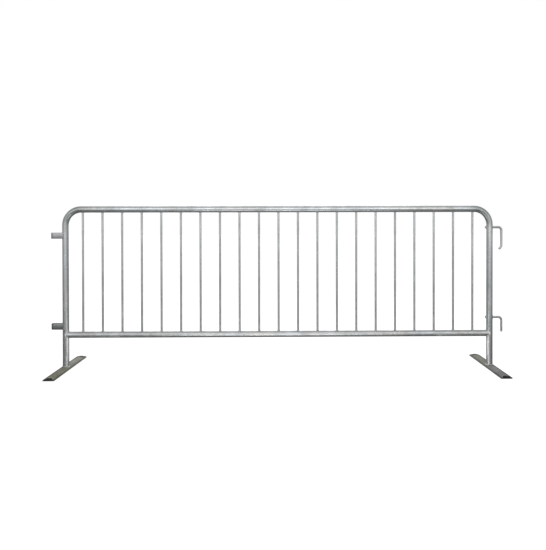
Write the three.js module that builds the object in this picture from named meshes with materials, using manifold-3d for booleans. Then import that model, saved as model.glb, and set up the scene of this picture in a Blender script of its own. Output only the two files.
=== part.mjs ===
// Interlocking crowd control barrier in galvanised steel.
// Millimetres. X runs along the panel, Y through it (front is -Y) and Z up.
// The origin is on the floor, below the middle of the panel.
//
// One bent tube makes both posts and the top rail. A bottom rail and upright bars are welded
// into it, strap loops to its left post and rod hooks through its right post. Each foot is a
// low pressed arch with a leg welded on it, whose spigot turns in the post above. A lock bolt
// with its tip in the spigot's groove holds the foot in the post and clamps it.

import * as THREE from 'three';
import { mergeVertices } from 'three/addons/utils/BufferGeometryUtils.js';
import Module from 'manifold-3d';

// Panel
const PANEL_LENGTH = 2591;          // over the outsides of the posts
const PANEL_HEIGHT = 974;           // floor to the top of the top rail
const TUBE_DIAMETER = 38.1;         // posts, rails and legs
const TUBE_WALL = 1.5;
const CORNER_RADIUS = 94;           // centre line of the two top bends
const BOTTOM_RAIL_HEIGHT = 203;     // floor to the rail's centre line

// Upright bars
const BAR_COUNT = 21;
const BAR_DIAMETER = 12.7;
const BAR_WALL = 1.2;
const END_BAR_OFFSET = 104;         // post's centre line to the nearest bar's

// Strap loops on the left post
const STRAP_HEIGHT = 36;
const STRAP_THICKNESS = 5;
const LOOP_INNER_WIDTH = 26;        // across the gap that takes the next panel's hook
const LOOP_REACH = 66;              // post's outer face to the tip of a loop
const UPPER_LOOP_DROP = 176;        // top of the panel to the upper loop's middle
const LOWER_LOOP_RISE = 51;         // bottom rail's centre line to the lower loop's middle

// Rod hooks on the right post
const HOOK_ROD = 14;
const HOOK_REACH = 60;              // post's outer face to the outside of a hook's leg
const HOOK_LIFT = 46;               // a loop's middle to the matching hook's arm
const HOOK_BEND_RADIUS = 18;        // centre line
const HOOK_STUB = 7;                // rod end standing out of the post's inner face
const UPPER_HOOK_DROP = 113;        // arm to the kink in the upper hook
const UPPER_HOOK_TAIL = 24;         // length of its kinked tail
const TAIL_ANGLE = 35;              // of the tail from upright, degrees, towards the post
const LOWER_HOOK_DROP = 88;         // arm to the lower hook's end

// Feet
const FOOT_LENGTH = 650;
const FOOT_WIDTH = 68;
const FOOT_RISE = 8.5;              // of the arch's outer face over its edges
const FOOT_THICKNESS = 3.5;
const FOOT_CORNER = 6;              // rounding of the foot's corners, seen from above
const NOTCH_WIDTH = 46;             // half-oval notch in each end
const NOTCH_DEPTH = 28;
const PAD_LENGTH = 84;
const PAD_SETBACK = 4;              // of the rubber behind the foot's end
const PAD_INSET = 4;                // of the rubber's sides inside the foot's edges
const PAD_PROUD = 1.5;              // of the rubber below the steel
const PAD_SINK = 0.5;               // of the rubber's top below the arch's outer face

// Leg, spigot and lock
const POST_BELOW_RAIL = 2;          // of the post's end below the bottom rail
const SPIGOT_WALL = 2.5;
const SPIGOT_IN_LEG = 60;
const SPIGOT_IN_POST = 96;
const LOCK_BELOW_LOOP = 15;         // lower loop's bottom edge to the middle of the lock bolt
const GROOVE_WIDTH = 12;
const GROOVE_DEPTH = 3;
const BOLT_DIAMETER = 8;
const BOLT_HEAD_WIDTH = 13;         // across the flats, and of the nut
const BOLT_HEAD_HEIGHT = 5.3;
const BOLT_HEAD_LIFT = 2.5;         // head's underside above the nut
const NUT_HEIGHT = 6.5;
const VENT_DIAMETER = 8;            // galvanising vent in the front of the left post
const VENT_RISE = 24;               // of the vent above the bottom rail's centre line
const VENT_TURN = 12;               // degrees round the post from its front

// Clearances and facets
const GAP = 0.3;                    // between pieces that touch
const TUBE_SIDES = 24;
const BAR_SIDES = 12;
const ROD_SIDES = 16;
const BEND_STEPS = 8;
const OUTLINE_SIDES = 24;
const CUTTER_MARGIN = 5;            // how far a cutting solid runs past what it cuts

// Worked-out places
const tubeRadius = TUBE_DIAMETER / 2;
const postX = PANEL_LENGTH / 2 - tubeRadius;
const topRailZ = PANEL_HEIGHT - tubeRadius;
const postBottomZ = BOTTOM_RAIL_HEIGHT - tubeRadius - POST_BELOW_RAIL;
const upperLoopZ = PANEL_HEIGHT - UPPER_LOOP_DROP;
const lowerLoopZ = BOTTOM_RAIL_HEIGHT + LOWER_LOOP_RISE;
const loopTip = tubeRadius + LOOP_REACH;
const hookTip = tubeRadius + HOOK_REACH;
const boltHoleRadius = BOLT_DIAMETER / 2 + GAP;
const spigotRadius = tubeRadius - TUBE_WALL - GAP;
const spigotTopZ = postBottomZ + SPIGOT_IN_POST;
const grooveZ = lowerLoopZ - STRAP_HEIGHT / 2 - LOCK_BELOW_LOOP;
const archRadius = ((FOOT_WIDTH / 2) ** 2 + FOOT_RISE ** 2) / (2 * FOOT_RISE);
const archAngle = Math.asin(FOOT_WIDTH / 2 / archRadius);
const archCentreZ = PAD_PROUD - (archRadius - FOOT_THICKNESS) * Math.cos(archAngle);

const galvanised = { color: 0xa3a7a9, roughness: 0.45, metalness: 0.9 };
const dullGalvanised = { color: 0x85877d, roughness: 0.6, metalness: 0.8 };
const zincPlated = { color: 0xb0b3b5, roughness: 0.35, metalness: 0.95 };
const blackRubber = { color: 0x141414, roughness: 0.85, metalness: 0 };

const wasm = await Module();
wasm.setup();

const barrier = new THREE.Group();

function addPiece(name, shape, finish, x = 0, y = 0, z = 0) {
  const mesh = new THREE.Mesh(shape, new THREE.MeshStandardMaterial(finish));
  mesh.name = name;
  mesh.position.set(x, y, z);
  barrier.add(mesh);
}

// Closed three.js geometry to a solid that can be cut and joined, and back.
function toSolid(geometry) {
  const bare = geometry.clone();
  bare.deleteAttribute('normal');
  bare.deleteAttribute('uv');
  const merged = mergeVertices(bare);
  return new wasm.Manifold(new wasm.Mesh({
    numProp: 3,
    vertProperties: new Float32Array(merged.attributes.position.array),
    triVerts: new Uint32Array(merged.index.array),
  }));
}

function toGeometry(solid) {
  const { vertProperties, triVerts } = solid.getMesh();
  const geometry = new THREE.BufferGeometry();
  geometry.setAttribute('position', new THREE.BufferAttribute(vertProperties, 3));
  geometry.setIndex(new THREE.BufferAttribute(triVerts, 1));
  geometry.computeVertexNormals();
  return geometry;
}

// A route of straight runs and round bends in the XZ plane. Its stations are the two ends and
// the steps round each bend, so a section swept along it has no facets wasted on straights.
class BentRoute extends THREE.Curve {
  constructor(corners, radius) {
    super();
    this.points = [corners[0]];
    this.tangents = [corners[1].clone().sub(corners[0]).normalize()];
    for (let i = 1; i < corners.length - 1; i += 1) this.addBend(corners[i], corners[i + 1], radius);
    this.points.push(corners[corners.length - 1]);
    this.tangents.push(this.tangents[this.tangents.length - 1].clone());
  }

  addBend(corner, next, radius) {
    const into = this.tangents[this.tangents.length - 1].clone();
    const out = next.clone().sub(corner).normalize();
    const turn = into.angleTo(out);
    const start = corner.clone().addScaledVector(into, -radius * Math.tan(turn / 2));
    const inward = out.clone().addScaledVector(into, -out.dot(into)).normalize();
    const centre = start.clone().addScaledVector(inward, radius);
    const steps = Math.max(2, Math.round((BEND_STEPS * turn) / (Math.PI / 2)));
    for (let step = 0; step <= steps; step += 1) {
      const angle = (turn * step) / steps;
      const arm = inward.clone().multiplyScalar(-Math.cos(angle)).addScaledVector(into, Math.sin(angle));
      this.points.push(centre.clone().addScaledVector(arm, radius));
      this.tangents.push(into.clone().multiplyScalar(Math.cos(angle))
        .addScaledVector(inward, Math.sin(angle)));
    }
  }

  get steps() {
    return this.points.length - 1;
  }

  getPointAt(u, target = new THREE.Vector3()) {
    return target.copy(this.points[Math.round(u * this.steps)]);
  }

  getTangentAt(u, target = new THREE.Vector3()) {
    return target.copy(this.tangents[Math.round(u * this.steps)]);
  }
}

function discShape(radius) {
  const shape = new THREE.Shape();
  shape.absarc(0, 0, radius, 0, 2 * Math.PI);
  return shape;
}

function ringShape(radius, wall) {
  const shape = discShape(radius);
  const bore = new THREE.Path();
  bore.absarc(0, 0, radius - wall, 0, 2 * Math.PI);
  shape.holes.push(bore);
  return shape;
}

// An outline in XY given a height along Z, from z = 0. An arc takes twice its curveSegments.
function raise(shape, height, sides = OUTLINE_SIDES) {
  return new THREE.ExtrudeGeometry(shape, { depth: height, bevelEnabled: false, curveSegments: sides / 2 });
}

// An outline in XZ given a length along Y, with y = 0 at its middle.
function prismAlongY(shape, length) {
  return raise(shape, length).rotateX(Math.PI / 2).translate(0, length / 2, 0);
}

function sweep(shape, route, sides) {
  return new THREE.ExtrudeGeometry(shape, {
    extrudePath: route, steps: route.steps, curveSegments: sides / 2, bevelEnabled: false,
  });
}

function uprightRod(radius, height, sides = TUBE_SIDES) {
  return new THREE.CylinderGeometry(radius, radius, height, sides).rotateX(Math.PI / 2);
}

function rodAlongX(radius, length, sides = TUBE_SIDES) {
  return new THREE.CylinderGeometry(radius, radius, length, sides).rotateZ(Math.PI / 2);
}

function rodAlongY(radius, length, sides = ROD_SIDES) {
  return new THREE.CylinderGeometry(radius, radius, length, sides);
}

// The space that a post takes up, to cut the pieces that meet it.
function postCutter(x) {
  return toSolid(uprightRod(tubeRadius + GAP, 2 * PANEL_HEIGHT).translate(x, 0, 0));
}

function railCutter(z, length) {
  return toSolid(rodAlongX(tubeRadius + GAP, length).translate(0, 0, z));
}

// One tube bent into an inverted U, with the holes that the hooks, bolts and vent need.
function frameTube() {
  const route = new BentRoute([
    new THREE.Vector3(-postX, 0, postBottomZ),
    new THREE.Vector3(-postX, 0, topRailZ),
    new THREE.Vector3(postX, 0, topRailZ),
    new THREE.Vector3(postX, 0, postBottomZ),
  ], CORNER_RADIUS);
  let tube = toSolid(sweep(ringShape(tubeRadius, TUBE_WALL), route, TUBE_SIDES));
  for (const loopZ of [upperLoopZ, lowerLoopZ]) {
    const hole = rodAlongX(HOOK_ROD / 2 + GAP, TUBE_DIAMETER + CUTTER_MARGIN, ROD_SIDES);
    tube = tube.subtract(toSolid(hole.translate(postX, 0, loopZ + HOOK_LIFT)));
  }
  for (const side of [-1, 1]) {
    const boltHole = rodAlongY(boltHoleRadius, TUBE_DIAMETER).translate(side * postX, tubeRadius, grooveZ);
    tube = tube.subtract(toSolid(boltHole));
  }
  const vent = rodAlongY(VENT_DIAMETER / 2, tubeRadius).translate(0, -tubeRadius, 0)
    .rotateZ(THREE.MathUtils.degToRad(-VENT_TURN))
    .translate(-postX, 0, BOTTOM_RAIL_HEIGHT + VENT_RISE);
  return toGeometry(tube.subtract(toSolid(vent)));
}

function bottomRail() {
  const tube = raise(ringShape(tubeRadius, TUBE_WALL), 2 * postX, TUBE_SIDES)
    .rotateY(Math.PI / 2).translate(-postX, 0, 0);
  return toGeometry(toSolid(tube).subtract(postCutter(-postX)).subtract(postCutter(postX)));
}

// An upright bar, its two ends coped to fit round the rails. Its origin is at floor level.
function uprightBar() {
  const tube = raise(ringShape(BAR_DIAMETER / 2, BAR_WALL), topRailZ - BOTTOM_RAIL_HEIGHT, BAR_SIDES)
    .translate(0, 0, BOTTOM_RAIL_HEIGHT);
  const cutterLength = 2 * BAR_DIAMETER;
  return toGeometry(toSolid(tube)
    .subtract(railCutter(topRailZ, cutterLength))
    .subtract(railCutter(BOTTOM_RAIL_HEIGHT, cutterLength)));
}

function barX(index) {
  return (postX - END_BAR_OFFSET) * ((2 * index) / (BAR_COUNT - 1) - 1);
}

// A flat strap bent into a U whose two ends are welded to the post. Its origin is on the post.
function strapLoop() {
  const outer = LOOP_INNER_WIDTH / 2 + STRAP_THICKNESS;
  const inner = LOOP_INNER_WIDTH / 2;
  const bendX = outer - loopTip;
  const shape = new THREE.Shape();
  shape.moveTo(0, outer);
  shape.lineTo(bendX, outer);
  shape.absarc(bendX, 0, outer, Math.PI / 2, 1.5 * Math.PI);
  shape.lineTo(0, -outer);
  shape.lineTo(0, -inner);
  shape.lineTo(bendX, -inner);
  shape.absarc(bendX, 0, inner, 1.5 * Math.PI, Math.PI / 2, true);
  shape.lineTo(0, inner);
  const strap = raise(shape, STRAP_HEIGHT).translate(0, 0, -STRAP_HEIGHT / 2);
  return toGeometry(toSolid(strap).subtract(postCutter(0)));
}

// A rod through the post, bent down outside it. Its origin is on the post, at the arm's height.
function rodHook(drop, tail) {
  const legX = hookTip - HOOK_ROD / 2;
  const corners = [
    new THREE.Vector3(-tubeRadius - HOOK_STUB, 0, 0),
    new THREE.Vector3(legX, 0, 0),
    new THREE.Vector3(legX, 0, -drop),
  ];
  if (tail > 0) {
    const angle = THREE.MathUtils.degToRad(TAIL_ANGLE);
    corners.push(new THREE.Vector3(legX - tail * Math.sin(angle), 0, -drop - tail * Math.cos(angle)));
  }
  return sweep(discShape(HOOK_ROD / 2), new BentRoute(corners, HOOK_BEND_RADIUS), ROD_SIDES);
}

// The section of all that lies below an arc about the arch's centre, down to a floor.
function belowArc(radius, halfWidth, floorZ) {
  const angle = Math.asin(halfWidth / radius);
  const shape = new THREE.Shape();
  shape.moveTo(-halfWidth, floorZ);
  shape.lineTo(halfWidth, floorZ);
  shape.absarc(0, archCentreZ, radius, Math.PI / 2 - angle, Math.PI / 2 + angle);
  return shape;
}

// The outline, seen from above, of the oval that notches a foot's end, shrunk by a clearance.
function notchSolid(clearance) {
  const shape = new THREE.Shape();
  shape.absellipse(0, 0, NOTCH_WIDTH / 2 - clearance, NOTCH_DEPTH - clearance, 0, 2 * Math.PI);
  const height = 4 * (FOOT_RISE + FOOT_THICKNESS);
  return toSolid(raise(shape, height).translate(0, 0, -height / 2));
}

function footOutline() {
  const right = FOOT_WIDTH / 2;
  const back = FOOT_LENGTH / 2;
  const shape = new THREE.Shape();
  shape.absarc(right - FOOT_CORNER, back - FOOT_CORNER, FOOT_CORNER, 0, Math.PI / 2);
  shape.absarc(FOOT_CORNER - right, back - FOOT_CORNER, FOOT_CORNER, Math.PI / 2, Math.PI);
  shape.absarc(FOOT_CORNER - right, FOOT_CORNER - back, FOOT_CORNER, Math.PI, 1.5 * Math.PI);
  shape.absarc(right - FOOT_CORNER, FOOT_CORNER - back, FOOT_CORNER, 1.5 * Math.PI, 2 * Math.PI);
  return shape;
}

// A strip pressed into a low arch, with rounded corners and a half-oval notch in each end.
function footArch() {
  const section = new THREE.Shape();
  section.absarc(0, archCentreZ, archRadius, Math.PI / 2 - archAngle, Math.PI / 2 + archAngle);
  section.absarc(0, archCentreZ, archRadius - FOOT_THICKNESS,
    Math.PI / 2 + archAngle, Math.PI / 2 - archAngle, true);
  const height = 4 * (FOOT_RISE + FOOT_THICKNESS);
  const outline = toSolid(raise(footOutline(), height, BAR_SIDES).translate(0, 0, -height / 2));
  let arch = toSolid(prismAlongY(section, FOOT_LENGTH + CUTTER_MARGIN)).intersect(outline);
  for (const end of [-1, 1]) {
    arch = arch.subtract(notchSolid(0).translate([0, (end * FOOT_LENGTH) / 2, 0]));
  }
  return toGeometry(arch);
}

// A rubber block under one end of the arch, with a boss that fills the notch from below.
function endPad(end) {
  const middleY = end * (FOOT_LENGTH / 2 - PAD_SETBACK - PAD_LENGTH / 2);
  const halfWidth = FOOT_WIDTH / 2 - PAD_INSET;
  const block = prismAlongY(belowArc(archRadius - FOOT_THICKNESS - GAP, halfWidth, 0), PAD_LENGTH);
  const space = prismAlongY(belowArc(archRadius - PAD_SINK, halfWidth, 0), PAD_LENGTH);
  const boss = toSolid(space.translate(0, middleY, 0))
    .intersect(notchSolid(GAP).translate([0, (end * FOOT_LENGTH) / 2, 0]));
  return toGeometry(toSolid(block.translate(0, middleY, 0)).add(boss));
}

// A short tube, coped to sit on the arch.
function legTube() {
  const tube = toSolid(raise(ringShape(tubeRadius, TUBE_WALL), postBottomZ - GAP, TUBE_SIDES));
  const arch = prismAlongY(belowArc(archRadius + GAP, FOOT_WIDTH / 2, -CUTTER_MARGIN), FOOT_WIDTH);
  return toGeometry(tube.subtract(toSolid(arch)));
}

// A heavier tube that joins leg and post, with a rolled groove for the lock bolt's tip.
function spigot() {
  const bottom = postBottomZ - SPIGOT_IN_LEG;
  const flat = GROOVE_WIDTH / 2;
  const slope = flat + GROOVE_DEPTH;
  const outside = [
    [spigotRadius, bottom],
    [spigotRadius, grooveZ - slope],
    [spigotRadius - GROOVE_DEPTH, grooveZ - flat],
    [spigotRadius - GROOVE_DEPTH, grooveZ + flat],
    [spigotRadius, grooveZ + slope],
    [spigotRadius, spigotTopZ],
  ];
  const inside = outside.map(([radius, z]) => [radius - SPIGOT_WALL, z]).reverse();
  const profile = [...outside, ...inside, outside[0]].map(([radius, z]) => new THREE.Vector2(radius, z));
  return new THREE.LatheGeometry(profile, TUBE_SIDES).rotateX(Math.PI / 2);
}

// Hexagon prism along Y, from its near face.
function hexagon(height, y) {
  return rodAlongY(BOLT_HEAD_WIDTH / Math.sqrt(3), height, 6).translate(0, y + height / 2, 0);
}

// A nut welded to the back of the post, its underside coped to the tube.
function lockNut() {
  const bore = rodAlongY(boltHoleRadius, 4 * tubeRadius);
  const block = toSolid(hexagon(NUT_HEIGHT + TUBE_WALL, tubeRadius - TUBE_WALL));
  return toGeometry(block.subtract(postCutter(0)).subtract(toSolid(bore)));
}

// A set bolt through the nut and the post's wall, its tip in the spigot's groove.
function lockBolt() {
  const tipY = spigotRadius - GROOVE_DEPTH + GAP;
  const headY = tubeRadius + NUT_HEIGHT + BOLT_HEAD_LIFT;
  const shank = rodAlongY(BOLT_DIAMETER / 2, headY - tipY).translate(0, (headY + tipY) / 2, 0);
  return toGeometry(toSolid(shank).add(toSolid(hexagon(BOLT_HEAD_HEIGHT, headY))));
}

addPiece('frame_tube', frameTube(), galvanised);
addPiece('bottom_rail', bottomRail(), galvanised, 0, 0, BOTTOM_RAIL_HEIGHT);
for (let index = 0; index < BAR_COUNT; index += 1) {
  const number = String(index + 1).padStart(2, '0');
  addPiece(`bar_${number}`, uprightBar(), galvanised, barX(index));
}

addPiece('upper_loop', strapLoop(), galvanised, -postX, 0, upperLoopZ);
addPiece('lower_loop', strapLoop(), galvanised, -postX, 0, lowerLoopZ);
addPiece('upper_hook', rodHook(UPPER_HOOK_DROP, UPPER_HOOK_TAIL), galvanised,
  postX, 0, upperLoopZ + HOOK_LIFT);
addPiece('lower_hook', rodHook(LOWER_HOOK_DROP, 0), galvanised, postX, 0, lowerLoopZ + HOOK_LIFT);

for (const [side, x] of [['left', -postX], ['right', postX]]) {
  addPiece(`${side}_leg`, legTube(), galvanised, x);
  addPiece(`${side}_spigot`, spigot(), galvanised, x);
  addPiece(`${side}_foot`, footArch(), dullGalvanised, x);
  addPiece(`${side}_front_pad`, endPad(-1), blackRubber, x);
  addPiece(`${side}_back_pad`, endPad(1), blackRubber, x);
  addPiece(`${side}_lock_nut`, lockNut(), zincPlated, x, 0, grooveZ);
  addPiece(`${side}_lock_bolt`, lockBolt(), zincPlated, x, 0, grooveZ);
}

export default barrier;
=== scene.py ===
import math
import bpy
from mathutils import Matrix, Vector


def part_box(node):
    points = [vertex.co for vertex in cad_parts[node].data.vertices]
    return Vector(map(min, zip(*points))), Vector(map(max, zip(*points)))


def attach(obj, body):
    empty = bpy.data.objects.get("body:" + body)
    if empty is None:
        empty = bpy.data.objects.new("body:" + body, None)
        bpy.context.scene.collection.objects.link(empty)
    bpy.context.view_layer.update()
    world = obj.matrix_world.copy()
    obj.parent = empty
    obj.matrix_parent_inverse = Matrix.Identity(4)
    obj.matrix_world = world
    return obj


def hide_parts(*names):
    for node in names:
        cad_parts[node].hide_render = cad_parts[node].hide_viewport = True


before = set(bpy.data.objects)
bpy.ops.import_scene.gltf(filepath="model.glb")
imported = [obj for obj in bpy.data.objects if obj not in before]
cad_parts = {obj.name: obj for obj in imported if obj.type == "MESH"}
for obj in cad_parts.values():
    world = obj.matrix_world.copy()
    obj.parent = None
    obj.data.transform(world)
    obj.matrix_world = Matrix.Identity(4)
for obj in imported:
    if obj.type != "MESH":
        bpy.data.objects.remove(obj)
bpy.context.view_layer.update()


# ---- Where it is seen from ---------------------------------------------------------------
# A camera at waist height, four metres in front of the panel and very nearly square to it.
# It is turned a degree towards the hooks, and its lens is shifted down to keep the posts upright.

bpy.ops.object.camera_add(location=(0.004, -4.150, 0.911))
camera = bpy.context.object
camera.name = "camera"
camera.rotation_euler = (math.radians(89.5), math.radians(0.1), math.radians(-0.9))
camera.data.lens = 45.1
camera.data.shift_x = -0.0308
camera.data.shift_y = -0.0956
bpy.context.scene.camera = camera


# ---- Studio ------------------------------------------------------------------------------
# Pale surroundings, brightest in front and behind, so that round tubes show a bright middle and
# darker edges. Long soft boxes hang over front and back, and one shines up from below the floor.
# Two small ones light the legs' inner sides, and overlight the bottom rail's underside near them.

scene = bpy.context.scene
scene.view_settings.view_transform = "Standard"
world = bpy.data.worlds.new("studio")
scene.world = world
world.use_nodes = True
sky = world.node_tree
sky.nodes.clear()

SKY_STOPS = [(0.0, 0.15), (0.41, 0.20), (0.46, 0.30), (0.50, 0.54), (0.80, 0.60), (1.0, 0.55)]
GLOW_STOPS = [(0.0, 0.0), (0.40, 0.02), (0.45, 0.14), (0.485, 0.66), (0.52, 1.05), (0.62, 0.9),
              (0.75, 0.45), (1.0, 0.15)]
LOBE_POWER = 4.0       # how narrow the front and back glows are
GLOW_LEVEL = 1.45      # how much brighter the front is than the sides
BACK_SHARE = 0.6       # of the same glow behind the panel
SEEN_LEVEL = 1.0       # of the pale backdrop, as the camera sees it


def sky_node(kind, inputs, **settings):
    node = sky.nodes.new(kind)
    for name, value in settings.items():
        setattr(node, name, value)
    for name, value in inputs.items():
        if isinstance(value, bpy.types.NodeSocket):
            sky.links.new(value, node.inputs[name])
        else:
            node.inputs[name].default_value = value
    return node.outputs[0]


def sky_ramp(factor, stops):
    node = sky.nodes.new("ShaderNodeValToRGB")
    while len(node.color_ramp.elements) < len(stops):
        node.color_ramp.elements.new(1.0)
    for stop, (place, level) in zip(node.color_ramp.elements, stops):
        stop.position = place
        stop.color = (level, level, level, 1)
    sky.links.new(factor, node.inputs[0])
    return node.outputs[0]


direction = sky.nodes.new("ShaderNodeTexCoord").outputs["Generated"]
parts = sky.nodes.new("ShaderNodeSeparateXYZ")
sky.links.new(direction, parts.inputs[0])
height = sky_node("ShaderNodeMath", {0: parts.outputs["Z"], 1: 0.5, 2: 0.5}, operation="MULTIPLY_ADD")
front = sky_node("ShaderNodeMath", {0: parts.outputs["Y"], 1: -1.0}, operation="MULTIPLY")
front = sky_node("ShaderNodeMath", {0: front, 1: 0.0}, operation="MAXIMUM")
front = sky_node("ShaderNodeMath", {0: front, 1: LOBE_POWER}, operation="POWER")
back = sky_node("ShaderNodeMath", {0: parts.outputs["Y"], 1: 0.0}, operation="MAXIMUM")
back = sky_node("ShaderNodeMath", {0: back, 1: LOBE_POWER}, operation="POWER")
lobes = sky_node("ShaderNodeMath", {0: back, 1: BACK_SHARE, 2: front}, operation="MULTIPLY_ADD")
lobes = sky_node("ShaderNodeMath", {0: lobes, 1: GLOW_LEVEL}, operation="MULTIPLY")
glow = sky_node("ShaderNodeMath", {
    0: sky_ramp(height, GLOW_STOPS), 1: lobes, 2: sky_ramp(height, SKY_STOPS)}, operation="MULTIPLY_ADD")
light_path = sky.nodes.new("ShaderNodeLightPath")
level = sky_node("ShaderNodeMix", {0: light_path.outputs["Is Camera Ray"], 2: glow, 3: SEEN_LEVEL},
                 data_type="FLOAT")
shine = sky_node("ShaderNodeBackground", {"Color": level})
sky.links.new(shine, sky.nodes.new("ShaderNodeOutputWorld").inputs[0])


def soft_box(name, place, aim, size, watts):
    bpy.ops.object.light_add(type="AREA", location=place)
    box = bpy.context.object
    box.name = name
    box.data.shape = "RECTANGLE"
    box.data.size, box.data.size_y = size
    box.data.energy = watts
    box.rotation_euler = (Vector(aim) - Vector(place)).to_track_quat("-Z", "Y").to_euler()
    box.visible_camera = False


soft_box("front_box", (0.0, -2.6, 2.6), (0, 0, 0.6), (4.6, 0.7), 14)
soft_box("low_box", (0.0, -1.1, -0.30), (0, 0, 0.10), (1.5, 0.25), 6)
soft_box("back_box", (0.0, 2.8, 2.8), (0, 0, 0.5), (3.2, 0.9), 25)
for box_side in (-1, 1):
    soft_box("leg_box", (box_side * 0.96, -0.06, 0.08), (box_side * 1.28, -0.02, 0.10),
             (0.36, 0.10), 0.30)


# ---- Frame tube --------------------------------------------------------------------------
# One length of 38 mm tube, bent twice to make both posts and the top rail, then dipped in
# zinc. A vent in the front of the left post lets the zinc run in and out.

TUBE_WALL = 0.0015
CORNER_RADIUS = 0.094
TUBE_SIDES = 48
VENT_RADIUS = 0.004
VENT_RISE = 0.024
VENT_TURN = math.radians(12)

tube_low, tube_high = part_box("frame_tube")
tube_radius = (tube_high.y - tube_low.y) / 2
post_x = tube_high.x - tube_radius
top_rail_z = tube_high.z - tube_radius
bottom_rail_z = sum(corner.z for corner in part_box("bottom_rail")) / 2


def begin(primitive, **settings):
    """Adds one mesh primitive with nothing else selected, and opens it in edit mode."""
    bpy.ops.object.select_all(action="DESELECT")
    primitive(**settings)
    bpy.ops.object.mode_set(mode="EDIT")
    bpy.ops.mesh.select_all(action="SELECT")
    return bpy.context.object


def run(x=0.0, y=0.0, z=0.0):
    """Draws the selected ring or edge out in a straight line."""
    bpy.ops.mesh.extrude_region_move(TRANSFORM_OT_translate={"value": (x, y, z)})


def bend(angle, centre, axis, steps):
    """Draws the selected ring or edge round a bend, which spin turns left-handed."""
    bpy.ops.mesh.spin(steps=steps, angle=-angle, center=centre, axis=axis)


def shut(piece, cap=False):
    """Ends the edit: merges what meets, caps open ends, faces all outwards."""
    bpy.ops.mesh.select_all(action="SELECT")
    bpy.ops.mesh.remove_doubles(threshold=0.00001)
    if cap:
        bpy.ops.mesh.fill_holes(sides=0)
        bpy.ops.mesh.select_all(action="SELECT")
    bpy.ops.mesh.normals_make_consistent(inside=False)
    bpy.ops.object.mode_set(mode="OBJECT")
    bpy.ops.object.transform_apply(location=True, rotation=True, scale=True)
    return piece


def pick(piece):
    bpy.ops.object.select_all(action="DESELECT")
    piece.select_set(True)
    bpy.context.view_layer.objects.active = piece


def work(piece, kind, **settings):
    """Applies one modifier to a piece."""
    pick(piece)
    modifier = piece.modifiers.new(kind, kind)
    for setting, value in settings.items():
        setattr(modifier, setting, value)
    bpy.ops.object.modifier_apply(modifier=modifier.name)


def cut(piece, tool, operation="DIFFERENCE"):
    """Cuts a piece with a tool, which is then thrown away."""
    work(piece, "BOOLEAN", operation=operation, solver="EXACT", object=tool)
    bpy.data.objects.remove(tool)


def fit(piece, name, body, slot, finish, *nodes, crease=35):
    """Names a finished piece, gives it its finish and puts it on its body."""
    pick(piece)
    bpy.ops.object.shade_smooth_by_angle(angle=math.radians(crease))
    piece.name = piece.data.name = name
    piece.data.materials.clear()
    piece.data.materials.append(finish)
    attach(piece, body)
    if nodes:
        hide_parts(*nodes)
    return piece


class Level:
    """A number that varies over a surface, held as the output of a shader node."""

    def __init__(self, finish, socket):
        self.finish = finish
        self.socket = socket

    def combined(self, operation, first, second):
        return self.finish.node("ShaderNodeMath", {"operation": operation}, {0: first, 1: second})

    def __add__(self, other):
        return self.combined("ADD", self, other)

    def __radd__(self, other):
        return self.combined("ADD", other, self)

    def __sub__(self, other):
        return self.combined("SUBTRACT", self, other)

    def __rsub__(self, other):
        return self.combined("SUBTRACT", other, self)

    def __mul__(self, other):
        return self.combined("MULTIPLY", self, other)

    def __rmul__(self, other):
        return self.combined("MULTIPLY", other, self)


class Finish:
    """A surface finish: one material, whose nodes all come from node()."""

    def __init__(self, name):
        self.material = bpy.data.materials.new(name)
        self.material.use_nodes = True
        self.tree = self.material.node_tree
        self.shader = self.tree.nodes["Principled BSDF"]
        self.place = self.node("ShaderNodeTexCoord", {}, {}, "Object")

    def plug(self, socket, value):
        if isinstance(value, Level):
            self.tree.links.new(value.socket, socket)
        else:
            socket.default_value = value

    def node(self, kind, settings, inputs, output=0):
        made = self.tree.nodes.new(kind)
        for name, value in settings.items():
            setattr(made, name, value)
        for name, value in inputs.items():
            self.plug(made.inputs[name], value)
        return Level(self, made.outputs[output])

    def shape(self, **inputs):
        for name, value in inputs.items():
            self.plug(self.shader.inputs[name.replace("_", " ")], value)

    def stretched(self, x=1.0, y=1.0, z=1.0, shift=0.0):
        return self.node("ShaderNodeMapping", {}, {
            "Vector": self.place, "Scale": (x, y, z), "Location": (shift, shift, shift)})

    def cloud(self, scale, detail=3.0, place=None):
        return self.node("ShaderNodeTexNoise", {}, {
            "Vector": place or self.place, "Scale": scale, "Detail": detail})

    def grains(self, scale, output="Distance"):
        return self.node("ShaderNodeTexVoronoi", {}, {"Vector": self.place, "Scale": scale}, output)

    def between(self, amount, low, high):
        """0 below low, 1 above high, and even between them."""
        return self.node("ShaderNodeMapRange", {}, {"Value": amount, "From Min": low, "From Max": high})

    def blend(self, amount, first, second, way="MIX"):
        return self.node("ShaderNodeMix", {"data_type": "RGBA", "blend_type": way},
                         {"Factor": amount, 6: first, 7: second}, 2)


SHADE_FADE_HEIGHT = 0.85   # below this, painted shade darkens the zinc more and more
FULL_SHADE_HEIGHT = 0.15     # and below this, the painted shade is as dark as it gets
SHADE_EDGE_WANDER = 0.3      # how far the two heights wander up and down
BENT_TONE = (0.66, 0.68, 0.65, 1)
BENT_SHARE = 0.9       # of that tone in a bend


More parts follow.
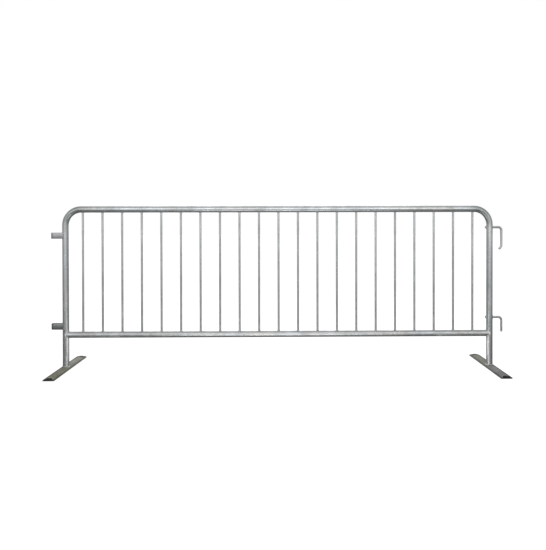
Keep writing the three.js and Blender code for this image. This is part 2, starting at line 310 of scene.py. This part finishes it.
def galvanised(name, dark, light, bloom=0.3, shine=0.26, shift=0.0, low=0.82, high=1.06, worked=None):
    """Hot-dipped zinc: soft spangle, cloudy tone, runs down the metal, chalky bloom, fine grit.

    Its brightness goes from low near the floor to high at SHADE_FADE_HEIGHT, as painted shade below and
    painted light above. worked makes a level that is 1 where the tube was bent cold, and the zinc there
    stays darker."""
    finish = Finish(name)
    cloudy = finish.cloud(9.0, 4.0, finish.stretched(shift=shift))
    runs = finish.cloud(30.0, 2.0, finish.stretched(1.0, 1.0, 0.12, shift))
    spangle = finish.node("ShaderNodeSeparateColor", {}, {"Color": finish.grains(150.0, "Color")})
    fine = finish.cloud(420.0, 2.0)
    chalk = finish.between(finish.cloud(26.0, 6.0, finish.stretched(shift=shift + 3)), 0.56, 0.74)
    tone = finish.between(0.55 * cloudy + 0.25 * runs + 0.14 * spangle + 0.06 * fine, 0.31, 0.69)
    metal_colour = finish.blend(tone, (*dark, 1), (*light, 1))
    tint = finish.between(finish.cloud(5.0, 2.0, finish.stretched(shift=shift + 7)), 0.4, 0.62)
    tinted = finish.blend(tint, (0.97, 1.0, 1.02, 1), (1.01, 1.0, 0.985, 1))
    coloured = finish.blend(1.0, metal_colour, tinted, "MULTIPLY")
    # Painted light and shade: the zinc is darker towards the floor and brighter high up, standing in for
    # the surroundings it reflects.
    above_floor = finish.node("ShaderNodeSeparateXYZ", {}, {0: finish.place}, "Z")
    lit_share = finish.between(above_floor + SHADE_EDGE_WANDER * cloudy, FULL_SHADE_HEIGHT + SHADE_EDGE_WANDER / 2,
                           SHADE_FADE_HEIGHT + SHADE_EDGE_WANDER / 2)
    painted_shade_tone = finish.blend(lit_share, (low, low, low, 1), (high, high, high, 1))
    coloured = finish.blend(1.0, coloured, painted_shade_tone, "MULTIPLY")
    if worked:
        coloured = finish.blend(worked(finish) * BENT_SHARE, coloured, BENT_TONE, "MULTIPLY")
    finish.shape(
        Base_Color=finish.blend(chalk * bloom, coloured, (0.72, 0.73, 0.74, 1)),
        Metallic=0.9 - 0.5 * bloom * chalk,
        Roughness=shine + 0.16 * (1 - tone) + 0.08 * spangle + 0.2 * bloom * chalk)
    lumps = finish.cloud(60.0, 3.0, finish.stretched(shift=shift))
    finish.shape(Normal=finish.node("ShaderNodeBump", {}, {
        "Strength": 0.25, "Distance": 0.0006, "Height": 0.7 * lumps + 0.12 * fine + 0.18 * spangle}))
    return finish.material


def bent_zone(finish):
    """1 round the two top bends, fading over a hand's width into the straights."""
    across = finish.node("ShaderNodeSeparateXYZ", {}, {0: finish.place}, "X")
    upward = finish.node("ShaderNodeSeparateXYZ", {}, {0: finish.place}, "Z")
    outward = finish.node("ShaderNodeMath", {"operation": "ABSOLUTE"}, {0: across})
    past_middle = finish.between(outward, post_x - 1.6 * CORNER_RADIUS, post_x - 0.8 * CORNER_RADIUS)
    past_post = finish.between(upward, top_rail_z - 1.25 * CORNER_RADIUS, top_rail_z - 0.7 * CORNER_RADIUS)
    return past_middle * past_post


frame_zinc = galvanised("frame_zinc", (0.40, 0.412, 0.415), (0.66, 0.675, 0.68), low=0.72, high=1.08,
                        worked=bent_zone)


def frame_tube():
    bend_z = top_rail_z - CORNER_RADIUS
    bend_x = post_x - CORNER_RADIUS
    tube = begin(bpy.ops.mesh.primitive_circle_add, vertices=TUBE_SIDES, radius=tube_radius,
                 location=(-post_x, 0, tube_low.z))
    run(z=bend_z - tube_low.z)
    bend(math.pi / 2, (-bend_x, 0, bend_z), (0, 1, 0), 20)
    run(x=2 * bend_x)
    bend(math.pi / 2, (bend_x, 0, bend_z), (0, 1, 0), 20)
    run(z=tube_low.z - bend_z)
    shut(tube)
    work(tube, "SOLIDIFY", thickness=TUBE_WALL, offset=-1)
    drill_x = -post_x - tube_radius * math.sin(VENT_TURN)
    drill_y = -tube_radius * math.cos(VENT_TURN)
    begin(bpy.ops.mesh.primitive_cylinder_add, vertices=24, radius=VENT_RADIUS,
          depth=tube_radius, location=(drill_x, drill_y, bottom_rail_z + VENT_RISE),
          rotation=(math.radians(90), 0, -VENT_TURN))
    cut(tube, shut(bpy.context.object))
    return tube


fit(frame_tube(), "bent_frame_tube", "panel", "galvanised_steel", frame_zinc, "frame_tube")


# ---- Bottom rail -------------------------------------------------------------------------
# A straight length of the same tube between the posts, coped and welded to them.

rail_low, rail_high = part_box("bottom_rail")
rail_zinc = galvanised("rail_zinc", (0.36, 0.365, 0.365), (0.60, 0.605, 0.61), shift=11.0, low=1.0)
rail = begin(bpy.ops.mesh.primitive_circle_add, vertices=TUBE_SIDES, radius=tube_radius,
             location=(rail_low.x, 0, bottom_rail_z), rotation=(0, math.radians(90), 0))
run(x=rail_high.x - rail_low.x)
shut(rail)
work(rail, "SOLIDIFY", thickness=TUBE_WALL, offset=-1)
for post_side in (-1, 1):
    begin(bpy.ops.mesh.primitive_cylinder_add, vertices=TUBE_SIDES, radius=tube_radius,
          depth=4 * tube_radius, location=(post_side * post_x, 0, bottom_rail_z))
    cut(rail, shut(bpy.context.object))
fit(rail, "lower_rail", "panel", "galvanised_steel", rail_zinc, "bottom_rail")


# ---- Upright bars ------------------------------------------------------------------------
# Half-inch tubes, each cut to length, set between the rails and welded at both ends.

BAR_SEAT = 0.004       # how deep a bar's end sits in the rail's curved face

# The bars get the deepest painted shade towards the floor and the most painted light high up.
bar_zinc = galvanised("bar_zinc", (0.40, 0.405, 0.405), (0.64, 0.65, 0.655), shift=23.0, low=0.60,
                      high=1.10)
bar_names = sorted(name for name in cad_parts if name.startswith("bar_"))
bar_places = []
for bar_name in bar_names:
    bar_low, bar_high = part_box(bar_name)
    bar_radius = (bar_high.x - bar_low.x) / 2
    bar_x = (bar_high.x + bar_low.x) / 2
    bar_places.append(bar_x)
    foot_z = bottom_rail_z + tube_radius - BAR_SEAT
    head_z = top_rail_z - tube_radius + BAR_SEAT
    bar = begin(bpy.ops.mesh.primitive_circle_add, vertices=24, radius=bar_radius,
                location=(bar_x, 0, foot_z))
    run(z=head_z - foot_z)
    shut(bar, cap=True)
    fit(bar, "upright_" + bar_name, "panel", "galvanised_steel", bar_zinc, bar_name, crease=40)


# ---- Weld beads --------------------------------------------------------------------------
# Each joint is a fillet run round by hand, then dipped with the rest. The beads sit on the
# curve of the tube below them and are a little lumpy.

weld_zinc = galvanised("weld_zinc", (0.36, 0.365, 0.36), (0.58, 0.585, 0.58), bloom=0.5, shine=0.4,
                       shift=31.0, low=0.95)
BAR_BEAD = 0.0017      # a bead's own radius
BAR_BEAD_OUT = 0.0008  # from a bar's surface to the middle of its bead
RAIL_BEAD = 0.0026
RAIL_BEAD_OUT = 0.0005
BEAD_LUMP = 0.0006     # how uneven a bead is
lump_pattern = bpy.data.textures.new("lump_pattern", "CLOUDS")
lump_pattern.noise_scale = 0.004


def bead(ring, thickness, place, drop, tilt=(0, 0, 0), lump=BEAD_LUMP):
    """A ring of weld round a tube, lowered at each point by drop(x, y) to follow its seat."""
    weld = begin(bpy.ops.mesh.primitive_torus_add, major_radius=ring, minor_radius=thickness,
                 major_segments=48, minor_segments=10)
    bpy.ops.object.mode_set(mode="OBJECT")
    for vertex in weld.data.vertices:
        vertex.co.z -= drop(vertex.co.x, vertex.co.y)
    pick(weld)
    weld.rotation_euler = tilt
    weld.location = place
    bpy.ops.object.transform_apply(location=True, rotation=True, scale=True)
    work(weld, "DISPLACE", texture=lump_pattern, strength=lump, mid_level=0.5, texture_coords="LOCAL")
    return weld


def on_tube(x, y):
    """How far a tube along X falls away under a point beside its crown."""
    return tube_radius - math.sqrt(max(0.0, tube_radius ** 2 - y ** 2))


def made_one(parts, name, body, finish):
    """Several like welds made one piece."""
    bpy.ops.object.select_all(action="DESELECT")
    for part in parts:
        part.select_set(True)
    bpy.context.view_layer.objects.active = parts[0]
    bpy.ops.object.join()
    return fit(bpy.context.object, name, body, "galvanised_steel", finish, crease=60)


foot_beads = []
head_beads = []
for bar_x in bar_places:
    ring = bar_radius + BAR_BEAD_OUT
    foot_beads.append(bead(ring, BAR_BEAD, (bar_x, 0, bottom_rail_z + tube_radius), on_tube))
    head_beads.append(bead(ring, BAR_BEAD, (bar_x, 0, top_rail_z - tube_radius), on_tube,
                           tilt=(math.pi, 0, 0)))
made_one(foot_beads, "bar_foot_welds", "panel", weld_zinc)
made_one(head_beads, "bar_head_welds", "panel", weld_zinc)

rail_beads = [bead(tube_radius + RAIL_BEAD_OUT, RAIL_BEAD,
                   (side * (post_x - tube_radius), 0, bottom_rail_z), on_tube,
                   tilt=(0, -side * math.pi / 2, 0)) for side in (-1, 1)]
made_one(rail_beads, "rail_end_welds", "panel", weld_zinc)


# ---- Strap loops -------------------------------------------------------------------------
# A flat strap bent into a U on edge and welded to the left post, front and back. The next
# panel's hooks drop into them.

STRAP_THICKNESS = 0.005
STRAP_EDGE = 0.0009    # rounding of its edges
STRAP_SEAT = 0.55      # how far out its ends start, as a share of the post's radius
SEAM_RADIUS = 0.00143  # of the upright welds on its ends
SEAM_OUT = 0.00052     # from the post's surface to their middles
SEAM_LUMP = 0.0016
SEAM_STEPS = 14


def seam(strap_y, loop_z, strap_height):
    """An upright run of weld in the corner between the post and the outside of a strap."""
    seat_y = strap_y + math.copysign(STRAP_THICKNESS / 2, strap_y)
    seat_x = -post_x - math.sqrt(tube_radius ** 2 - seat_y ** 2) - SEAM_OUT
    weld = begin(bpy.ops.mesh.primitive_circle_add, vertices=12, radius=SEAM_RADIUS,
                 location=(seat_x, seat_y, loop_z - strap_height / 2))
    for _ in range(SEAM_STEPS):
        run(z=strap_height / SEAM_STEPS)
    shut(weld, cap=True)
    work(weld, "DISPLACE", texture=lump_pattern, strength=SEAM_LUMP, mid_level=0.2, texture_coords="LOCAL")
    return weld


# Both straps are one zinc. Their colours are painted shade, darker than the tubes', and the lower strap's
# much darker than the upper's.
loop_zinc = {
    "upper_loop": galvanised("upper_loop_painted_shade_zinc", (0.28, 0.28, 0.285), (0.41, 0.415, 0.425), shift=41.0),
    "lower_loop": galvanised("lower_loop_deep_painted_shade_zinc", (0.16, 0.165, 0.16), (0.28, 0.29, 0.28), shift=43.0),
}
for loop_name, zinc in loop_zinc.items():
    loop_low, loop_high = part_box(loop_name)
    strap_height = loop_high.z - loop_low.z
    loop_z = (loop_high.z + loop_low.z) / 2
    loop_half = (loop_high.y - loop_low.y) / 2
    strap_y = loop_half - STRAP_THICKNESS / 2
    bend_x = loop_low.x + loop_half
    start_x = -post_x - tube_radius * STRAP_SEAT
    strap = begin(bpy.ops.mesh.primitive_plane_add, size=1, location=(start_x, -strap_y, loop_z),
                  rotation=(0, math.radians(90), 0))
    bpy.ops.transform.resize(value=(1, STRAP_THICKNESS, strap_height))
    bpy.ops.mesh.delete(type="ONLY_FACE")
    bpy.ops.mesh.select_all(action="SELECT")
    run(x=bend_x - start_x)
    bend(-math.pi, (bend_x, 0, loop_z), (0, 0, 1), 24)
    run(x=start_x - bend_x)
    shut(strap, cap=True)
    work(strap, "BEVEL", width=STRAP_EDGE, segments=3, angle_limit=math.radians(50))
    fit(strap, "strap_" + loop_name, "panel", "galvanised_steel", zinc, loop_name)
    seams = [seam(side * strap_y, loop_z, strap_height) for side in (-1, 1)]
    made_one(seams, loop_name + "_welds", "panel", weld_zinc)


# ---- Rod hooks ---------------------------------------------------------------------------
# A 14 mm round rod goes through the right post, stands out a little on the inner side, and is
# bent down outside it. The upper one has its end kinked back, so that it can't lift out.

HOOK_BEND = 0.018
TAIL_LENGTH = 0.024
TAIL_ANGLE = math.radians(35)
ROD_EDGE = 0.0014      # rounding of the rod's cut ends
HOOK_BEAD = 0.0024
HOOK_BEAD_OUT = 0.0006
hook_zinc = galvanised("hook_zinc", (0.34, 0.345, 0.345), (0.62, 0.625, 0.63), shift=53.0)
for hook_name, tail in (("upper_hook", TAIL_LENGTH), ("lower_hook", 0.0)):
    hook_low, hook_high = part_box(hook_name)
    rod = (hook_high.y - hook_low.y) / 2
    arm_z = hook_high.z - rod
    leg_x = hook_high.x - rod
    hook = begin(bpy.ops.mesh.primitive_circle_add, vertices=24, radius=rod,
                 location=(hook_low.x, 0, arm_z), rotation=(0, math.radians(90), 0))
    run(x=leg_x - HOOK_BEND - hook_low.x)
    bend(math.pi / 2, (leg_x - HOOK_BEND, 0, arm_z - HOOK_BEND), (0, 1, 0), 12)
    if tail:
        shrink = HOOK_BEND * math.tan(TAIL_ANGLE / 2)
        tail_end_z = hook_low.z + rod * math.sin(TAIL_ANGLE)
        kink_z = tail_end_z + tail * math.cos(TAIL_ANGLE)
        run(z=kink_z + shrink - (arm_z - HOOK_BEND))
        bend(TAIL_ANGLE, (leg_x - HOOK_BEND, 0, kink_z + shrink), (0, 1, 0), 6)
        reach = tail - shrink
        run(x=-reach * math.sin(TAIL_ANGLE), z=-reach * math.cos(TAIL_ANGLE))
    else:
        run(z=hook_low.z - (arm_z - HOOK_BEND))
    shut(hook, cap=True)
    work(hook, "BEVEL", width=ROD_EDGE, segments=3, angle_limit=math.radians(50))
    fit(hook, "rod_" + hook_name, "panel", "galvanised_steel", hook_zinc, hook_name)
    ends = [bead(rod + HOOK_BEAD_OUT, HOOK_BEAD, (post_x + side * tube_radius, 0, arm_z), on_tube,
                 tilt=(0, side * math.pi / 2, 0)) for side in (-1, 1)]
    made_one(ends, hook_name + "_welds", "panel", weld_zinc)


# ---- Feet --------------------------------------------------------------------------------
# A steel strip pressed into a low arch, its corners rounded and a half-oval notched out of
# each end for the rubber.

FOOT_THICKNESS = 0.0035
FOOT_RISE = 0.0085
FOOT_CORNER = 0.006
FOOT_EDGE = 0.0005     # rounding of its cut edges
END_REACH = 0.0001     # an edge nearer than this to a foot's end is at the end
SIDE_REACH = 0.0025    # and nearer than this to its side is at the side
NOTCH_WIDTH = 0.046
NOTCH_DEPTH = 0.028
CROWN_WIDTH = 0.019    # from the middle of a foot's lighter strip to the painted shade of its sloping sides
CROWN_INSET = 0.005    # of that strip towards the middle of the panel
BACK_DARK_START = 0.268      # how far back the near-black band at a foot's back end begins


def foot_finish(name, middle_x, shift, green_to):
    """Zinc weathered on the ground: grey in front of green_to, greenish behind it, with its sloping
    sides and the half behind the leg darkened as painted shade, and its back end darkened nearly to black."""
    finish = Finish(name)
    cloudy = finish.cloud(9.0, 4.0, finish.stretched(shift=shift))
    mottle = finish.cloud(140.0, 4.0, finish.stretched(shift=shift))
    grit = finish.cloud(500.0, 2.0)
    scuffs = finish.between(finish.cloud(80.0, 3.0, finish.stretched(1.0, 0.1, 1.0, shift)), 0.6, 0.72)
    across = finish.node("ShaderNodeSeparateXYZ", {}, {0: finish.place}, "X")
    along = finish.node("ShaderNodeSeparateXYZ", {}, {0: finish.place}, "Y")
    off_middle = finish.node("ShaderNodeMath", {"operation": "ABSOLUTE"}, {0: across - middle_x})
    # Painted shade: the arch's sloping sides are darkened, the lighter middle strip set a little towards
    # the panel.
    sides = finish.between(off_middle + 0.008 * mottle, CROWN_WIDTH, CROWN_WIDTH + 0.009)
    # The back end of the foot is darkened nearly to black.
    back_end = finish.between(along + 0.012 * mottle, BACK_DARK_START, BACK_DARK_START + 0.02)
    low = finish.node("ShaderNodeMath", {"operation": "MAXIMUM"}, {0: sides, 1: back_end})
    tone = finish.between(0.5 * cloudy + 0.35 * mottle + 0.15 * grit, 0.36, 0.62)
    grey = finish.blend(tone, (0.19, 0.19, 0.188, 1), (0.30, 0.30, 0.298, 1))
    green = finish.blend(tone, (0.17, 0.172, 0.128, 1), (0.285, 0.288, 0.218, 1))
    weathered = finish.between(along + 0.1 * cloudy, green_to, green_to + 0.08)
    zinc = finish.blend(weathered, grey, green)
    # Painted shade: the half of the foot behind the leg is darkened.
    behind_leg = finish.between(along, -0.03, 0.03)
    worn_and_shaded = finish.blend(scuffs * 0.3, zinc, (0.62, 0.62, 0.58, 1))
    worn_and_shaded = finish.blend(behind_leg * 0.8, worn_and_shaded, (0.70, 0.70, 0.70, 1), "MULTIPLY")
    # The painted shade of the sides and the darkened back end take the colour nearly to black, less
    # metallic and rougher.
    finish.shape(
        Base_Color=finish.blend(low * 0.88, worn_and_shaded, (0.062, 0.063, 0.054, 1)),
        Metallic=0.55 - 0.35 * low,
        Roughness=0.5 + 0.18 * (1 - tone) + 0.15 * low)
    finish.shape(Normal=finish.node("ShaderNodeBump", {}, {
        "Strength": 0.3, "Distance": 0.0006, "Height": 0.6 * mottle + 0.4 * grit}))
    return finish.material


def pressed_foot(node):
    low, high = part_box(node)
    centre_x = (low.x + high.x) / 2
    half_width = (high.x - low.x) / 2
    length = high.y - low.y
    radius = (half_width ** 2 + FOOT_RISE ** 2) / (2 * FOOT_RISE)
    half_angle = math.asin(half_width / radius)
    centre_z = high.z - radius
    strip = begin(bpy.ops.mesh.primitive_plane_add, size=length,
                  location=(low.x + length / 2, 0, centre_z + radius * math.cos(half_angle)))
    bpy.ops.mesh.select_mode(type="VERT")
    bpy.ops.mesh.select_all(action="DESELECT")
    bpy.ops.object.mode_set(mode="OBJECT")
    for vertex in strip.data.vertices:
        vertex.select = vertex.co.x > 0
    bpy.ops.object.mode_set(mode="EDIT")
    bpy.ops.mesh.delete(type="VERT")
    bpy.ops.mesh.select_all(action="SELECT")
    bend(2 * half_angle, (centre_x, 0, centre_z), (0, 1, 0), 24)
    shut(strip)
    if strip.data.polygons[0].normal.z < 0:
        strip.data.flip_normals()
    work(strip, "SOLIDIFY", thickness=FOOT_THICKNESS, offset=-1)
    bpy.ops.object.mode_set(mode="EDIT")
    bpy.ops.mesh.select_mode(type="EDGE")
    bpy.ops.mesh.select_all(action="DESELECT")
    bpy.ops.object.mode_set(mode="OBJECT")
    for edge in strip.data.edges:
        first, second = (strip.data.vertices[index].co for index in edge.vertices)
        at_end = min(abs(first.y), abs(second.y)) > length / 2 - END_REACH
        at_side = min(abs(first.x - centre_x), abs(second.x - centre_x)) > half_width - SIDE_REACH
        edge.select = at_end and at_side and abs(first.z - second.z) > FOOT_THICKNESS / 2
    bpy.ops.object.mode_set(mode="EDIT")
    bpy.ops.mesh.bevel(offset=FOOT_CORNER, segments=6)
    bpy.ops.object.mode_set(mode="OBJECT")
    for end in (-1, 1):
        begin(bpy.ops.mesh.primitive_cylinder_add, vertices=64, radius=1, depth=0.06,
              location=(centre_x, end * length / 2, high.z))
        bpy.ops.transform.resize(value=(NOTCH_WIDTH / 2, NOTCH_DEPTH, 1))
        cut(strip, shut(bpy.context.object))
    work(strip, "BEVEL", width=FOOT_EDGE, segments=2, angle_limit=math.radians(45))
    return strip


GREEN_TO = {"left": -0.5, "right": 0.0}     # the right foot's front half has stayed grey
for side, mark in (("left", -1), ("right", 1)):
    foot_zinc = foot_finish(side + "_foot_zinc", mark * (post_x - CROWN_INSET), mark * 3.0, GREEN_TO[side])
    fit(pressed_foot(side + "_foot"), side + "_pressed_foot", side + "_foot_assembly",
        "dull_galvanised_steel", foot_zinc, side + "_foot", crease=30)


# ---- Rubber ends -------------------------------------------------------------------------
# A moulded block under each end of a foot, with a boss that fills the notch and a ribbed sole.

def rubber():
    """Matte black rubber, dusty on top and greyer where it is rubbed."""
    finish = Finish("pad_rubber")
    dust = finish.between(finish.cloud(60.0, 5.0), 0.45, 0.75)
    grain = finish.cloud(700.0, 2.0)
    finish.shape(
        Base_Color=finish.blend(dust * 0.5, (0.026, 0.026, 0.026, 1), (0.095, 0.092, 0.084, 1)),
        Roughness=0.78 + 0.15 * dust,
        Specular_IOR_Level=0.05)
    finish.shape(Normal=finish.node("ShaderNodeBump", {}, {
        "Strength": 0.3, "Distance": 0.0003, "Height": grain}))
    return finish.material


pad_rubber = rubber()
PAD_EDGE = 0.0007      # rounding of its edges
RIB_GROOVES = 6        # across each sole
GROOVE_DEPTH = 0.0012
GROOVE_WIDTH = 0.004


def eased(node, width):
    """A piece with the frame's own shape, its edges rounded as moulding or forging leaves them."""
    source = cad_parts[node]
    bpy.ops.object.select_all(action="DESELECT")
    piece = source.copy()
    piece.data = source.data.copy()
    piece.parent = None
    for key in list(piece.keys()):
        del piece[key]
    bpy.context.scene.collection.objects.link(piece)
    pick(piece)
    bpy.ops.object.mode_set(mode="EDIT")
    bpy.ops.mesh.select_all(action="SELECT")
    bpy.ops.mesh.remove_doubles(threshold=0.00001)
    bpy.ops.mesh.dissolve_limited(angle_limit=math.radians(1))
    bpy.ops.object.mode_set(mode="OBJECT")
    work(piece, "BEVEL", width=width, segments=2, angle_limit=math.radians(40))
    return piece


def ribbed(pad, node):
    """Cuts grooves across a pad's sole, for grip."""
    low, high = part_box(node)
    for groove in range(RIB_GROOVES):
        groove_y = low.y + (high.y - low.y) * (groove + 1) / (RIB_GROOVES + 1)
        begin(bpy.ops.mesh.primitive_cube_add, size=1, location=((low.x + high.x) / 2, groove_y, low.z))
        bpy.ops.transform.resize(value=(2 * (high.x - low.x), GROOVE_WIDTH, 2 * GROOVE_DEPTH))
        cut(pad, shut(bpy.context.object))
    return pad


for side in ("left", "right"):
    for end in ("front", "back"):
        pad_name = f"{side}_{end}_pad"
        fit(ribbed(eased(pad_name, PAD_EDGE), pad_name), pad_name + "_rubber",
            side + "_foot_assembly", "black_rubber", pad_rubber, pad_name, crease=30)


# ---- Legs --------------------------------------------------------------------------------
# Short tubes welded on the feet. A heavier tube inside joins each to its post, so the foot
# can be swung in line with the panel for stacking.

LEG_BEAD = 0.004
LEG_BEAD_OUT = 0.001
LEG_LUMP = 0.0014
LEG_BEAD_SEAT = 0.0026     # how deep the bead bites into the foot, which it doesn't go through
leg_zinc = galvanised("leg_zinc", (0.30, 0.302, 0.308), (0.50, 0.505, 0.515), shift=61.0)
for side in ("left", "right"):
    leg_low, leg_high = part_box(side + "_leg")
    leg_x = (leg_low.x + leg_high.x) / 2
    leg = begin(bpy.ops.mesh.primitive_circle_add, vertices=TUBE_SIDES, radius=tube_radius,
                location=(leg_x, 0, leg_low.z))
    run(z=leg_high.z - leg_low.z)
    shut(leg)
    work(leg, "SOLIDIFY", thickness=TUBE_WALL, offset=-1)
    fit(leg, side + "_leg_tube", side + "_foot_assembly", "galvanised_steel", leg_zinc, side + "_leg")
    foot_low, foot_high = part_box(side + "_foot")
    foot_half = (foot_high.x - foot_low.x) / 2
    arch = (foot_half ** 2 + FOOT_RISE ** 2) / (2 * FOOT_RISE)
    ring = bead(tube_radius + LEG_BEAD_OUT, LEG_BEAD, (leg_x, 0, foot_high.z + LEG_BEAD - LEG_BEAD_SEAT),
                lambda x, y: arch - math.sqrt(arch ** 2 - x ** 2), lump=LEG_LUMP)
    made_one([ring], side + "_leg_weld", side + "_foot_assembly", weld_zinc)


# ---- Spigots, weld nuts and lock bolts ---------------------------------------------------
# The spigot stands up inside the post. A set bolt in a weld nut on the back of the post bears
# in its groove, which keeps the foot in the post and clamps it.

def plated():
    """Bright zinc plate with faint rings from turning."""
    finish = Finish("bolt_plate")
    cloudy = finish.cloud(120.0, 3.0)
    rings = finish.cloud(900.0, 2.0, finish.stretched(1.0, 0.05, 1.0))
    tone = finish.between(0.6 * cloudy + 0.4 * rings, 0.35, 0.65)
    finish.shape(
        Base_Color=finish.blend(tone, (0.50, 0.50, 0.48, 1), (0.74, 0.75, 0.76, 1)),
        Metallic=0.95 - 0.1 * tone,
        Roughness=0.3 + 0.15 * (1 - tone))
    return finish.material


BOLT_EDGE = 0.0006     # rounding of the edges of nuts and heads
bolt_plate = plated()
for side in ("left", "right"):
    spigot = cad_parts[side + "_spigot"]
    spigot.data.materials.clear()
    spigot.data.materials.append(leg_zinc)
    for fastener in ("lock_nut", "lock_bolt"):
        node_name = f"{side}_{fastener}"
        fit(eased(node_name, BOLT_EDGE), node_name + "_plated", "panel", "zinc_plated_steel", bolt_plate,
            node_name, crease=30)


# ---- Floor -------------------------------------------------------------------------------
# A plain pale floor that only the camera sees, so that it throws no light up at the steel. It
# glows a little, so that only the places where the feet stand are in shade.

bpy.ops.object.select_all(action="DESELECT")
bpy.ops.mesh.primitive_plane_add(size=60, location=(0, 0, -0.0005))
floor = bpy.context.object
floor.name = "floor"
ground = Finish("pale_floor")
lit = ground.node("ShaderNodeEmission", {}, {"Color": (0.74, 0.74, 0.74, 1)})
matte = ground.node("ShaderNodeBsdfDiffuse", {}, {"Color": (0.50, 0.50, 0.50, 1)})
both = ground.node("ShaderNodeAddShader", {}, {0: lit, 1: matte})
ground.tree.links.new(both.socket, ground.tree.nodes["Material Output"].inputs["Surface"])
floor.data.materials.append(ground.material)
floor.visible_diffuse = False
floor.visible_glossy = False
floor.visible_shadow = False
